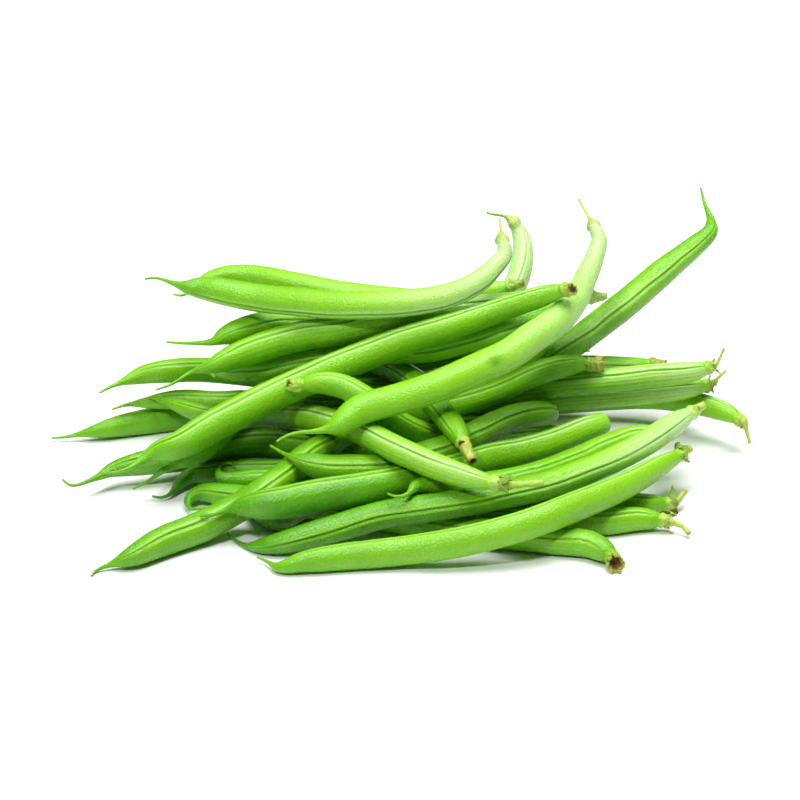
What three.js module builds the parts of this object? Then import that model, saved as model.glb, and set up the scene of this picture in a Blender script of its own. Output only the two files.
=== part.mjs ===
// A loose heap of fresh green beans. Lengths in millimetres, +X right, +Y away from the viewer, +Z up.
// Each bean is one closed body: curled beak, pod, calyx and pedicel grew as one piece.
import * as THREE from 'three';

// The view the routes were measured in: focal length and centre in picture pixels.
const VIEW_FOCAL = 2500;
const VIEW_CENTRE = 400;
const VIEW_DISTANCE = 700;
const VIEW_ELEVATION = 25;
const VIEW_TARGET = new THREE.Vector3(0, 50, 30);

// Driving sizes of a bean.
const POINT_GAP = 3.0;
const SKIN_GAP = 0.5;
const FLOOR_PRESS = 0.07;
const RING_SIDES = 9;
const POD_RINGS = 14;
const BEAK_TIP_RADIUS = 0.32;
const PEDICEL_RADIUS = 0.95;
const CALYX_RADIUS = 1.95;

// Settling of the heap.
const SETTLE_ROUNDS = 420;
const LAST_ROUNDS = 160;
const FIRM_ROUNDS = 70;
const PULL_DOWN = 0.06;
const PULL_HOME = 0.02;
const SEEN_SIDE_GIVE = 0.05;

// One row a bean. Route points run from the beak tip to the pedicel end:
// [picture x, picture y, height above the floor, 1 where the bean is in sight or 0 where it is buried].
// beak: length of the thin beak, stem: length of calyx and pedicel, width: pod widths from tip to stem.
// taper and narrow stretch the pod's narrowing at the tip and at the stem, 1 is the usual length.
// pedicel: its radius, cut: true where the pod was cut across without a calyx.
const BEANS = [
  {
    name: 'bean_01', beak: 8, stem: 6, width: [8.0, 8.2, 7.8], narrow: 2.3,
    route: [
      [257, 558, 2.5, 1], [266, 562, 2.5, 1], [279, 568, 3, 1], [302, 563, 4.2, 1], [340, 558, 4.6, 1],
      [400, 552, 5.5, 1], [460, 543, 8, 1], [526, 526, 11, 1], [584, 504, 12, 1], [626, 486, 12.5, 1],
      [660, 467, 13, 1], [676, 458, 13, 1], [684, 453, 13, 1], [692, 449, 13.5, 1],
    ],
  },
  {
    name: 'bean_02', beak: 10, stem: 5, width: [8.2, 8.2, 7.4],
    route: [
      [227, 534, 2, 1], [236, 541, 1.5, 1], [246, 546, 1.5, 1], [263, 546, 3, 1], [290, 541, 4.4, 1],
      [330, 530, 6, 1], [390, 513, 9, 1], [440, 506, 11, 1], [490, 497, 12, 1], [540, 487, 13, 1],
      [590, 470, 15, 1], [640, 447, 18, 1], [675, 424, 20, 1], [697, 410, 22, 1], [706, 405, 23, 1],
    ],
  },
  {
    name: 'bean_03', beak: 8, stem: 5, width: [9.2, 8.6, 7.6], taper: 0.85,
    route: [
      [91, 575, 1, 1], [97, 569, 1.5, 1], [112, 563, 2.6, 1], [130, 556, 4.2, 1], [160, 541, 4.8, 1],
      [200, 525, 6, 1], [240, 503, 9, 1], [270, 484, 12, 1], [292, 462, 14, 1], [315, 440, 15.5, 1],
      [345, 424, 15, 0], [380, 414, 14, 0], [410, 408, 13, 0], [430, 404, 12, 0],
    ],
  },
  {
    name: 'bean_04', beak: 9, stem: 0.6, cut: true, width: [9.4, 8.8, 7.8], taper: 0.65,
    route: [
      [200, 516, 10, 1], [214, 515, 10.5, 1], [226, 510, 11, 1], [243, 507, 12, 1], [261, 505, 12.5, 1],
      [287, 502, 13, 1], [322, 495, 13.5, 1], [360, 489, 14, 1], [401, 481, 14, 1], [452, 470, 14.5, 1],
      [490, 458, 14.5, 1], [515, 453, 14.5, 1], [546, 445, 15, 1], [572, 435, 15.5, 1], [595, 426, 16, 1],
      [604, 423, 16, 1],
    ],
  },
  {
    name: 'bean_05', beak: 4, stem: 6, width: [7.8, 8.4, 7.8], taper: 0.5,
    route: [
      [214, 377, 27.5, 1], [210, 371, 28, 1], [220, 369, 28, 1], [240, 369, 28.5, 1], [270, 366, 29.5, 1],
      [321, 355, 32.5, 1], [380, 351, 34, 1], [430, 349, 35, 1], [480, 336, 39, 1], [508, 327, 41.5, 1],
      [536, 316, 43.5, 1], [568, 306, 44, 1],
    ],
  },
  {
    name: 'bean_06', beak: 12, stem: 3, width: [9.6, 9.0, 6.8], pedicel: 1.35,
    route: [
      [104, 473, 13, 1], [120, 472, 13, 1], [130, 468, 13.5, 1], [146, 459, 14, 1], [157, 453, 15, 1],
      [178, 446, 17, 1], [213, 427, 20, 1], [250, 407, 24, 1], [290, 388, 28, 1], [340, 366, 34, 1],
      [404, 341, 40, 1], [450, 327, 45, 1], [489, 314, 48, 1], [530, 300, 53, 1], [560, 291, 56.5, 1],
      [573, 289, 58, 1],
    ],
  },
  {
    name: 'bean_07', beak: 14, stem: 5, width: [7.8, 8.8, 7.4],
    route: [
      [61, 478, 8, 1], [66, 482, 7.5, 1], [72, 484, 7.5, 1], [97, 475, 8, 1], [110, 468, 8.5, 1],
      [125, 464, 9, 1], [150, 459, 10, 1], [185, 454, 9.5, 1], [212, 448, 10.5, 1], [252, 439, 12, 1],
      [288, 436, 12.5, 1], [340, 428, 13, 0], [400, 418, 14, 0], [460, 408, 14, 0], [510, 400, 14, 0],
    ],
  },
  {
    name: 'bean_08', beak: 12, stem: 4.2, pedicel: 1.9, width: [7.8, 8.0, 7.2],
    route: [
      [132, 492, 8, 1], [140, 489, 8.5, 1], [150, 483, 9, 1], [160, 476, 10.5, 1], [175, 467, 11.5, 1],
      [195, 460, 13, 1], [212, 448, 15, 1], [225, 436, 17, 1], [245, 420, 18.5, 0], [290, 405, 21, 0],
      [350, 390, 24, 0], [420, 388, 26, 0], [470, 384, 27, 0], [510, 374, 28, 1], [541, 363, 30, 1],
      [575, 357, 31, 1], [590, 357, 31, 1], [603, 357, 31, 1],
    ],
  },
  {
    name: 'bean_09', beak: 10, stem: 5, width: [7.6, 8.0, 7.4], taper: 0.7,
    route: [
      [99, 390, 21, 1], [110, 384, 21, 1], [130, 376, 21.5, 1], [145, 371, 22, 1], [156, 369, 22.5, 1],
      [181, 366, 22.5, 1], [210, 365, 21, 1], [300, 368, 20, 0], [420, 355, 24, 0], [500, 344, 27, 0],
      [530, 340, 28, 0],
    ],
  },
  {
    name: 'bean_10', beak: 15, stem: 5, width: [8.8, 9.2, 7.8], taper: 0.8,
    route: [
      [156, 390, 27, 1], [166, 387, 27.5, 1], [179, 380, 29, 1], [191, 373, 30, 1], [210, 367, 32, 1],
      [225, 361, 33, 1], [245, 353, 34, 1], [270, 345, 36, 1], [300, 337, 38, 1], [340, 331, 41, 1],
      [390, 322, 43, 1], [436, 314, 44, 1], [490, 308, 45, 0], [545, 301, 46, 0], [590, 296, 46, 1],
      [610, 294, 46, 1],
    ],
  },
  {
    name: 'bean_11', beak: 5, stem: 14, width: [6.4, 7.6, 7.8], narrow: 1.7,
    route: [
      [148, 396, 14, 1], [156, 398, 14, 1], [170, 402, 14, 1], [193, 410, 13.5, 1], [215, 416, 13, 1],
      [240, 417, 13, 0], [268, 415, 15, 1], [300, 416, 18.5, 1], [335, 424, 22, 1], [370, 437, 23, 1],
      [401, 453, 23, 1], [425, 463, 22.5, 1], [447, 472, 22, 1], [470, 479, 21.5, 1], [486, 483, 21, 1],
      [498, 485, 21, 1], [520, 486, 20.5, 1], [543, 484, 20, 1],
    ],
  },
  {
    name: 'bean_12', beak: 10, stem: 5, width: [8.0, 8.4, 8.0],
    route: [
      [51, 438, 2, 1], [65, 437, 2.4, 1], [80, 434, 3.2, 1], [95, 431, 4.0, 1], [110, 428, 4.3, 1],
      [130, 424, 4.4, 1], [150, 421, 4.4, 1], [185, 416, 4.4, 1], [250, 410, 4.3, 0], [350, 404, 4.3, 0],
      [450, 400, 4.3, 0], [490, 399, 4.3, 0],
    ],
  },
  {
    name: 'bean_13', beak: 8, stem: 5, width: [7.4, 7.8, 7.6],
    route: [
      [112, 404, 11, 1], [124, 400, 11.5, 1], [145, 397, 12, 1], [180, 393, 12.4, 1], [215, 394, 12.4, 1],
      [245, 391, 12.4, 0], [330, 385, 12.4, 0], [420, 381, 12.4, 0], [500, 378, 12.4, 0],
    ],
  },
  {
    name: 'bean_14', beak: 15, stem: 13, width: [8.6, 9.0, 7.6], taper: 0.45, pedicel: 0.4, narrow: 4,
    route: [
      [277, 442, 24, 1], [287, 436, 25, 1], [302, 433, 26, 1], [322, 431, 27, 1], [338, 426, 28, 1],
      [358, 412, 30, 1], [385, 403, 32, 1], [410, 396, 34, 1], [434, 388, 36, 1], [480, 368, 40, 1],
      [510, 354, 43, 1], [532, 338, 46, 1], [557, 321, 49, 1], [574, 302, 51, 1], [585, 281, 53, 1],
      [593, 263, 55.5, 1], [598, 250, 58, 1], [600, 238, 60.5, 1], [596, 228, 62.5, 1], [589, 215, 64.6, 1],
      [580, 199, 67, 1],
    ],
  },
  {
    name: 'bean_15', beak: 9, stem: 4.4, pedicel: 1.6, width: [7.4, 7.8, 7.2],
    route: [
      [590, 417, 10.5, 0], [565, 421, 11, 1], [530, 424, 12, 0], [490, 430, 15, 0], [445, 433, 19, 1],
      [425, 430, 21.5, 1], [401, 420, 25, 1], [380, 404, 30, 0], [364, 394, 33, 1], [350, 386, 34.5, 1],
      [335, 381, 35.3, 1], [318, 380, 35.5, 1], [303, 382, 35, 1], [296, 383, 34.7, 1], [288, 381, 34.5, 1],
    ],
  },
  {
    name: 'bean_16', beak: 11, stem: 5, width: [8.0, 8.4, 7.8], taper: 0.5,
    route: [
      [273, 443, 18, 1], [287, 451, 18, 1], [302, 457, 18.5, 1], [328, 462, 19, 1], [353, 461, 19.5, 1],
      [400, 457, 20, 0], [445, 447, 20, 1], [472, 435, 20, 1], [492, 425, 20, 1], [515, 415, 20, 1],
      [535, 411, 20, 1], [545, 411, 18.5, 1], [549, 412, 15, 0], [549, 415, 11, 0],
    ],
  },
  {
    name: 'bean_17', beak: 9, stem: 5, width: [7.4, 8.0, 7.6],
    route: [
      [384, 487, 18.5, 1], [396, 490, 18.5, 1], [405, 486, 18.8, 1], [412, 479, 18.8, 1], [432, 478, 17, 1],
      [470, 479, 14, 0], [510, 476, 13, 0], [543, 469, 13, 1], [578, 456, 13.5, 1], [606, 444, 14, 1],
      [637, 434, 14, 1], [655, 433, 14, 1], [670, 431, 14, 0], [682, 427, 14, 0],
    ],
  },
  {
    name: 'bean_18', beak: 8, stem: 8, pedicel: 1.35, width: [7.4, 8.0, 7.4],
    route: [
      [300, 335, 18, 0], [315, 337, 20, 0], [330, 340, 23, 0], [350, 345, 26, 0], [370, 352, 28, 0],
      [391, 362, 29, 1], [410, 376, 29, 1], [434, 400, 27, 0], [446, 415, 26, 1], [457, 430, 25, 1],
      [465, 445, 24, 1], [469, 453, 23, 1], [474, 461, 22, 1],
    ],
  },
  {
    name: 'bean_19', beak: 8, stem: 8, width: [7.4, 7.8, 7.2], pedicel: 0.4,
    route: [
      [335, 405, 10, 0], [380, 402, 12, 0], [430, 398, 15, 0], [500, 389, 20, 0], [560, 381, 24, 1],
      [611, 378, 25.5, 1], [656, 374, 26, 1], [690, 371, 26, 1], [708, 367, 26, 1], [717, 363, 27, 1],
      [722, 355, 29.2, 1], [726, 347, 31.5, 1],
    ],
  },
  {
    name: 'bean_20', beak: 8, stem: 8, width: [7.4, 7.8, 7.2], pedicel: 0.45,
    route: [
      [325, 411, 8, 0], [370, 408, 9, 0], [420, 405, 11, 0], [500, 399, 14, 0], [560, 393, 17, 1],
      [620, 391, 18, 1], [670, 388, 18, 1], [700, 385, 18, 1], [710, 383, 18, 1], [717, 378, 19.5, 1],
      [727, 369, 22, 1],
    ],
  },
  {
    name: 'bean_21', beak: 8, stem: 8, width: [7.2, 7.6, 6.8], pedicel: 0.5,
    route: [
      [395, 404, 4.4, 0], [440, 402, 4.8, 0], [480, 398, 6, 0], [560, 392, 8.5, 0], [620, 389, 10.5, 0],
      [655, 390, 11.5, 0], [680, 394, 12.5, 1], [702, 399, 13, 1], [726, 407, 13, 1], [740, 415, 12, 1],
      [745, 420, 11, 1], [748, 428, 9, 1], [751, 439, 6, 1],
    ],
  },
  {
    name: 'bean_22', beak: 8, stem: 5, width: [7.0, 7.6, 6.0],
    route: [
      [330, 376, 14, 0], [360, 374, 15, 0], [450, 368, 17, 0], [540, 363, 19, 0], [600, 362, 20, 1],
      [630, 362, 20.5, 1], [650, 361, 20.5, 1], [668, 360, 21, 1],
    ],
  },
  {
    name: 'bean_23', beak: 15, stem: 5, width: [8.2, 9.0, 8.0], taper: 1.1,
    route: [
      [702, 187, 60, 1], [706, 203, 58, 1], [712, 219, 55, 1], [711, 231, 53, 1], [703, 239, 51, 1],
      [690, 250, 48.5, 1], [667, 268, 45, 1], [630, 299, 38, 1], [592, 328, 31.5, 1], [565, 350, 27.5, 1],
      [535, 368, 22, 0], [505, 380, 17, 0], [480, 390, 12, 0],
    ],
  },
  {
    name: 'bean_24', beak: 9, stem: 5, width: [7.6, 8.0, 7.6],
    route: [
      [152, 497, 1.5, 1], [164, 498, 1.6, 1], [171, 493, 2, 1], [178, 486, 2.6, 1], [187, 478, 3.6, 1],
      [205, 475, 4.3, 1], [240, 474, 4.3, 1], [300, 476, 4.3, 0], [400, 480, 4.3, 0], [500, 487, 4.3, 0],
      [560, 489, 4.3, 0],
    ],
  },
  {
    name: 'bean_25', beak: 9, stem: 3.2, pedicel: 2.0, width: [7.8, 8.2, 8.2],
    route: [
      [207, 502, 3.6, 1], [195, 504, 2.6, 1], [190, 500, 2.4, 1], [191, 493, 3, 1], [200, 487, 4.0, 1],
      [217, 487, 4.3, 1], [240, 490, 4.3, 1], [320, 502, 4.3, 0], [420, 520, 4.3, 0], [500, 532, 4.3, 0],
      [553, 537, 4.3, 1], [588, 541, 4.3, 1], [604, 548, 4.2, 1], [612, 554, 4.0, 1], [616, 561, 3.4, 1],
    ],
  },
  {
    name: 'bean_26', beak: 9, pedicel: 0.7, stem: 8, width: [7.8, 8.0, 7.4],
    route: [
      [229, 460, 13, 1], [220, 460, 12, 1], [216, 466, 11.5, 1], [219, 473, 11.5, 1], [232, 475, 10.5, 1],
      [250, 474, 10, 1], [282, 473, 10, 1], [340, 472, 10.5, 0], [420, 470, 12, 0], [500, 478, 10, 0],
      [560, 488, 7, 0], [610, 498, 4.8, 0], [640, 501, 4.3, 1], [660, 500, 4.2, 1], [675, 499, 4, 1],
      [686, 487, 6, 1],
    ],
  },
  {
    name: 'bean_27', beak: 8, pedicel: 0.7, stem: 9, width: [7.8, 8.0, 7.6],
    route: [
      [285, 478, 4, 0], [330, 490, 4.3, 0], [380, 500, 4.3, 0], [450, 510, 4.3, 0], [520, 518, 4.3, 0],
      [600, 521, 4.3, 1], [640, 518, 4.3, 1], [664, 520, 4.2, 1], [674, 522, 4.0, 1], [682, 525, 3.6, 1],
      [690, 533, 2.2, 1],
    ],
  },
  {
    name: 'bean_28', beak: 12, stem: 10, width: [8.0, 8.4, 7.6], pedicel: 0.4, taper: 0.55, narrow: 3.2,
    route: [
      [145, 279, 52, 1], [156, 278, 51.5, 1], [172, 283, 51, 1], [186, 287, 50.5, 1], [200, 288, 50, 1],
      [219, 291, 49.5, 1], [255, 298, 48, 1], [300, 303, 48, 1], [330, 306, 48, 1], [380, 306, 49, 1],
      [442, 298, 52, 1], [474, 285, 55.5, 1], [490, 272, 58, 1], [499, 262, 60, 1], [505, 253, 62, 1],
      [503, 240, 65, 1], [500, 219, 68, 1],
    ],
  },
  {
    name: 'bean_29', beak: 8, stem: 5, width: [7.4, 8.2, 7.4],
    route: [
      [173, 294, 47, 1], [181, 295, 47, 1], [191, 290, 47.5, 1], [204, 281, 48.5, 1], [219, 276, 49.5, 1],
      [238, 275, 49.5, 1], [258, 277, 49.5, 1], [296, 285, 49, 1], [330, 292, 48, 1], [361, 297, 47, 1],
      [436, 302, 46, 1], [486, 293, 47, 1], [513, 286, 49, 1], [525, 283, 50, 1],
    ],
  },
  {
    name: 'bean_30', beak: 15, pedicel: 0.42, stem: 10, narrow: 1.3, width: [8.6, 8.2, 7.2], taper: 0.55,
    route: [
      [166, 339, 36, 1], [187, 340, 37, 1], [212, 338, 38, 1], [222, 333, 39, 1], [245, 325, 40, 1],
      [275, 318, 40, 1], [330, 315, 40, 0], [420, 308, 41, 0], [470, 302, 43, 0], [505, 288, 46, 1],
      [518, 268, 50, 1], [523, 245, 54.5, 1], [520, 228, 58, 1], [514, 217, 61, 1], [507, 211, 62.5, 1],
      [498, 209, 63.5, 1], [487, 207, 64.5, 1],
    ],
  },
  {
    name: 'bean_31', beak: 8, stem: 5, width: [7.4, 7.8, 7.2],
    route: [
      [290, 372, 22, 0], [330, 370, 24, 0], [380, 369, 26, 0], [420, 367, 28, 1], [470, 355, 31, 1],
      [510, 341, 34, 1], [536, 331, 36, 0], [554, 325, 37, 0],
    ],
  },
  {
    name: 'bean_32', beak: 9, stem: 5, width: [7.6, 8.2, 7.6],
    route: [
      [590, 384, 5, 0], [565, 380, 4.4, 0], [530, 380, 4.3, 0], [440, 380, 4.3, 0], [340, 384, 4.3, 0],
      [290, 387, 4.3, 0], [262, 389, 4.3, 0],
    ],
  },
  {
    name: 'bean_33', beak: 9, stem: 6, width: [7.6, 8.2, 7.6],
    route: [
      [255, 368, 12, 0], [280, 366, 12.4, 0], [320, 364, 12.8, 0], [400, 360, 12.8, 0], [500, 362, 13, 0],
      [560, 366, 13, 0], [582, 368, 13, 0],
    ],
  },
  {
    name: 'bean_34', beak: 9, stem: 5, width: [7.6, 8.0, 7.4],
    route: [
      [590, 342, 20.5, 0], [577, 342, 22, 0], [560, 342, 22.5, 1], [540, 343, 22.5, 1], [500, 344, 21, 0], [400, 350, 21, 0], [300, 350, 21, 0],
      [262, 350, 21, 0], [240, 352, 21, 0],
    ],
  },
  {
    name: 'bean_35', beak: 9, stem: 6, width: [7.6, 8.0, 7.4],
    route: [
      [246, 331, 30, 0], [275, 329, 31, 0], [320, 328, 32, 0], [400, 328, 33, 0], [500, 322, 33, 0],
      [550, 322, 32, 0], [568, 325, 31, 0],
    ],
  },
];

const SLOPE = THREE.MathUtils.degToRad(VIEW_ELEVATION);
const AHEAD = new THREE.Vector3(0, Math.cos(SLOPE), -Math.sin(SLOPE));
const UPWARD = new THREE.Vector3(0, Math.sin(SLOPE), Math.cos(SLOPE));
const EYE = VIEW_TARGET.clone().addScaledVector(AHEAD, -VIEW_DISTANCE);

// Place in space of a picture point at a given height above the floor.
function placeAtHeight(px, py, height) {
  const ray = AHEAD.clone().multiplyScalar(VIEW_FOCAL);
  ray.x += px - VIEW_CENTRE;
  ray.addScaledVector(UPWARD, VIEW_CENTRE - py);
  const travel = (height - EYE.z) / ray.z;
  return EYE.clone().addScaledVector(ray, travel);
}

function smoothStep(value) {
  const held = Math.min(1, Math.max(0, value));
  return held * held * (3 - 2 * held);
}

// Value on a list of [station, value] pairs, on straight lines between neighbours.
function alongList(list, station) {
  if (station <= list[0][0]) return list[0][1];
  for (let index = 1; index < list.length; index += 1) {
    if (station <= list[index][0]) {
      const span = list[index][0] - list[index - 1][0];
      const share = (station - list[index - 1][0]) / span;
      return list[index - 1][1] + (list[index][1] - list[index - 1][1]) * share;
    }
  }
  return list[list.length - 1][1];
}

// Radius of a bean at a distance from the beak tip.
function beanRadius(bean, distance) {
  const podLength = bean.length - bean.beak - bean.stem;
  const share = THREE.MathUtils.clamp((distance - bean.beak) / podLength, 0, 1);
  const [tipWidth, middleWidth, stemWidth] = bean.width;
  const width = share < 0.5
    ? tipWidth + (middleWidth - tipWidth) * smoothStep((share - 0.12) / 0.38)
    : middleWidth + (stemWidth - middleWidth) * smoothStep((share - 0.5) / 0.45);
  const full = width / 2;
  const stemAt = bean.length - bean.stem;
  const taper = bean.taper ?? 1;
  const narrow = bean.narrow ?? 1;
  const pedicel = bean.pedicel ?? PEDICEL_RADIUS;
  const tipPart = [
    [0, BEAK_TIP_RADIUS],
    [bean.beak * 0.5, 0.5],
    [bean.beak * 0.85, 0.85],
    [bean.beak, 1.25],
    [bean.beak + 2.5 * taper, full * 0.46],
    [bean.beak + 6 * taper, full * 0.66],
    [bean.beak + 11 * taper, full * 0.83],
    [bean.beak + 18 * taper, full * 0.95],
    [bean.beak + 27 * taper, full],
  ];
  const stemPart = [
    [stemAt - 16 * narrow, full],
    [stemAt - 8 * narrow, full * 0.94],
    [stemAt - 4 * narrow, full * 0.82],
    [stemAt - 1.4 * narrow, full * 0.62],
    [stemAt, CALYX_RADIUS],
    [stemAt + 1.8, CALYX_RADIUS * 0.92],
    [stemAt + 3.2, pedicel * 1.3],
    [stemAt + 4.4, pedicel],
    [bean.length, pedicel],
  ];
  const cutPart = [[stemAt - 8, full], [stemAt - 1, full * 0.9], [bean.length, full * 0.78]];
  const profile = tipPart.concat(bean.cut ? cutPart : stemPart);
  return alongList(profile, distance);
}

// Stations at which a bean gets a ring.
function ringStations(bean) {
  const stemAt = bean.length - bean.stem;
  const stations = [0, bean.beak * 0.3, bean.beak * 0.55, bean.beak * 0.8, bean.beak];
  stations.push(bean.beak + 2.5, bean.beak + 6);
  const podStart = bean.beak + 11;
  const podEnd = stemAt - 8;
  for (let index = 0; index < POD_RINGS; index += 1) {
    stations.push(podStart + ((podEnd - podStart) * index) / (POD_RINGS - 1));
  }
  if (bean.cut) {
    stations.push(stemAt - 4, stemAt - 1, bean.length);
    return stations;
  }
  stations.push(stemAt - 4, stemAt - 1.4, stemAt, stemAt + 1.8, stemAt + 3.2);
  if (bean.stem > 7) stations.push(stemAt + 6);
  stations.push(bean.length);
  return stations;
}

// Turns a row of the list into an evenly divided chain of points in space.
function layOut(row) {
  const bean = { ...row };
  const corners = row.route.map(([px, py, height]) => placeAtHeight(px, py, height));
  const curve = new THREE.CatmullRomCurve3(corners, false, 'centripetal');
  curve.arcLengthDivisions = 600;
  bean.length = curve.getLength();
  const steps = Math.round(bean.length / POINT_GAP);
  const cornerAt = [0];
  for (let index = 1; index < corners.length; index += 1) {
    cornerAt.push(cornerAt[index - 1] + corners[index].distanceTo(corners[index - 1]));
  }
  const whole = cornerAt[cornerAt.length - 1];
  const sight = row.route.map((point, index) => [cornerAt[index] / whole, point[3]]);
  bean.home = [];
  bean.points = [];
  bean.seen = [];
  bean.radii = [];
  for (let index = 0; index <= steps; index += 1) {
    const share = index / steps;
    const point = curve.getPointAt(share);
    const radius = beanRadius(bean, share * bean.length);
    point.z = Math.max(point.z, radius * (1 - FLOOR_PRESS));
    bean.points.push(point);
    bean.home.push(point.clone());
    bean.seen.push(alongList(sight, share));
    bean.radii.push(radius);
  }
  bean.curve = curve;
  return bean;
}

const beans = BEANS.map(layOut);

// Nearest points of two short straight pieces, as shares along each.
function nearest(p1, q1, p2, q2) {
  const ux = q1.x - p1.x;
  const uy = q1.y - p1.y;
  const uz = q1.z - p1.z;
  const vx = q2.x - p2.x;
  const vy = q2.y - p2.y;
  const vz = q2.z - p2.z;
  const wx = p1.x - p2.x;
  const wy = p1.y - p2.y;
  const wz = p1.z - p2.z;
  const a = ux * ux + uy * uy + uz * uz;
  const e = vx * vx + vy * vy + vz * vz;
  const f = vx * wx + vy * wy + vz * wz;
  const c = ux * wx + uy * wy + uz * wz;
  const b = ux * vx + uy * vy + uz * vz;
  const denominator = a * e - b * b;
  let s = denominator > 1e-9 ? (b * f - c * e) / denominator : 0.5;
  s = Math.min(1, Math.max(0, s));
  let t = (b * s + f) / e;
  if (t < 0) {
    t = 0;
    s = Math.min(1, Math.max(0, -c / a));
  } else if (t > 1) {
    t = 1;
    s = Math.min(1, Math.max(0, (b - c) / a));
  }
  return [s, t];
}

// How readily a point moves: freely along the line of sight, little across it where it is in sight.
function give(bean, share, index, direction) {
  const seen = bean.seen[index] * (1 - share) + bean.seen[Math.min(index + 1, bean.seen.length - 1)] * share;
  const side = 1 - seen * (1 - SEEN_SIDE_GIVE);
  const along = direction.dot(AHEAD);
  const move = direction.clone().multiplyScalar(side);
  return move.addScaledVector(AHEAD, along * (1 - side));
}

const direction = new THREE.Vector3();

// Pushes two beans apart wherever their skins come closer than the gap.
function pushApart(first, second, gap) {
  for (let i = 0; i < first.points.length - 1; i += 1) {
    const p1 = first.points[i];
    const q1 = first.points[i + 1];
    for (let j = 0; j < second.points.length - 1; j += 1) {
      const p2 = second.points[j];
      const q2 = second.points[j + 1];
      const dx = p1.x - p2.x;
      if (dx > 15 || dx < -15) continue;
      const dy = p1.y - p2.y;
      const dz = p1.z - p2.z;
      if (dx * dx + dy * dy + dz * dz > 225) continue;
      const [s, t] = nearest(p1, q1, p2, q2);
      direction.set(
        p1.x + (q1.x - p1.x) * s - p2.x - (q2.x - p2.x) * t,
        p1.y + (q1.y - p1.y) * s - p2.y - (q2.y - p2.y) * t,
        p1.z + (q1.z - p1.z) * s - p2.z - (q2.z - p2.z) * t,
      );
      const distance = direction.length();
      const reach1 = first.radii[i] * (1 - s) + first.radii[i + 1] * s;
      const reach2 = second.radii[j] * (1 - t) + second.radii[j + 1] * t;
      const lack = reach1 + reach2 + gap - distance;
      if (lack <= 0) continue;
      direction.multiplyScalar(1 / Math.max(distance, 1e-6));
      const move1 = give(first, s, i, direction);
      const move2 = give(second, t, j, direction);
      const effect = move1.dot(direction) + move2.dot(direction);
      const scale = Math.min((0.5 * lack) / Math.max(effect, 0.05), 1.2);
      p1.addScaledVector(move1, scale * (1 - s));
      q1.addScaledVector(move1, scale * s);
      p2.addScaledVector(move2, -scale * (1 - t));
      q2.addScaledVector(move2, -scale * t);
    }
  }
}

// Spreads the moves of a bean along it, so that it bends gently, and keeps it near its own route.
function easeBean(bean, stiffness, pull) {
  const count = bean.points.length;
  const shift = bean.points.map((point, index) => point.clone().sub(bean.home[index]));
  for (let pass = 0; pass < stiffness; pass += 1) {
    const before = shift.map((value) => value.clone());
    for (let index = 0; index < count; index += 1) {
      const low = before[Math.max(index - 1, 0)];
      const high = before[Math.min(index + 1, count - 1)];
      shift[index].multiplyScalar(0.5).addScaledVector(low, 0.25).addScaledVector(high, 0.25);
    }
  }
  for (let index = 0; index < count; index += 1) {
    const share = 1 - pull;
    bean.points[index].copy(bean.home[index]).addScaledVector(shift[index], share);
  }
}

function keepOffFloor(bean) {
  bean.points.forEach((point, index) => {
    const lowest = bean.radii[index] * (1 - FLOOR_PRESS);
    if (point.z >= lowest) return;
    if (bean.seen[index] > 0.5) {
      point.addScaledVector(AHEAD, -(lowest - point.z) / Math.sin(SLOPE));
    } else {
      point.z = lowest;
    }
  });
}

for (let round = 0; round < SETTLE_ROUNDS; round += 1) {
  const last = round >= SETTLE_ROUNDS - LAST_ROUNDS;
  const firm = round >= SETTLE_ROUNDS - FIRM_ROUNDS;
  const ease = firm ? 0 : (last ? 1 : 6);
  if (!last) {
    beans.forEach((bean) => bean.points.forEach((point, index) => {
      const hidden = 1 - bean.seen[index];
      point.addScaledVector(AHEAD, PULL_DOWN * (1 - hidden));
      point.z -= PULL_DOWN * 1.5 * hidden;
    }));
  }
  for (let i = 0; i < beans.length; i += 1) {
    for (let j = i + 1; j < beans.length; j += 1) pushApart(beans[i], beans[j], SKIN_GAP + (last ? 0 : 0.1));
  }
  beans.forEach((bean) => easeBean(bean, ease, last ? 0 : PULL_HOME));
  beans.forEach(keepOffFloor);
}

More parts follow.
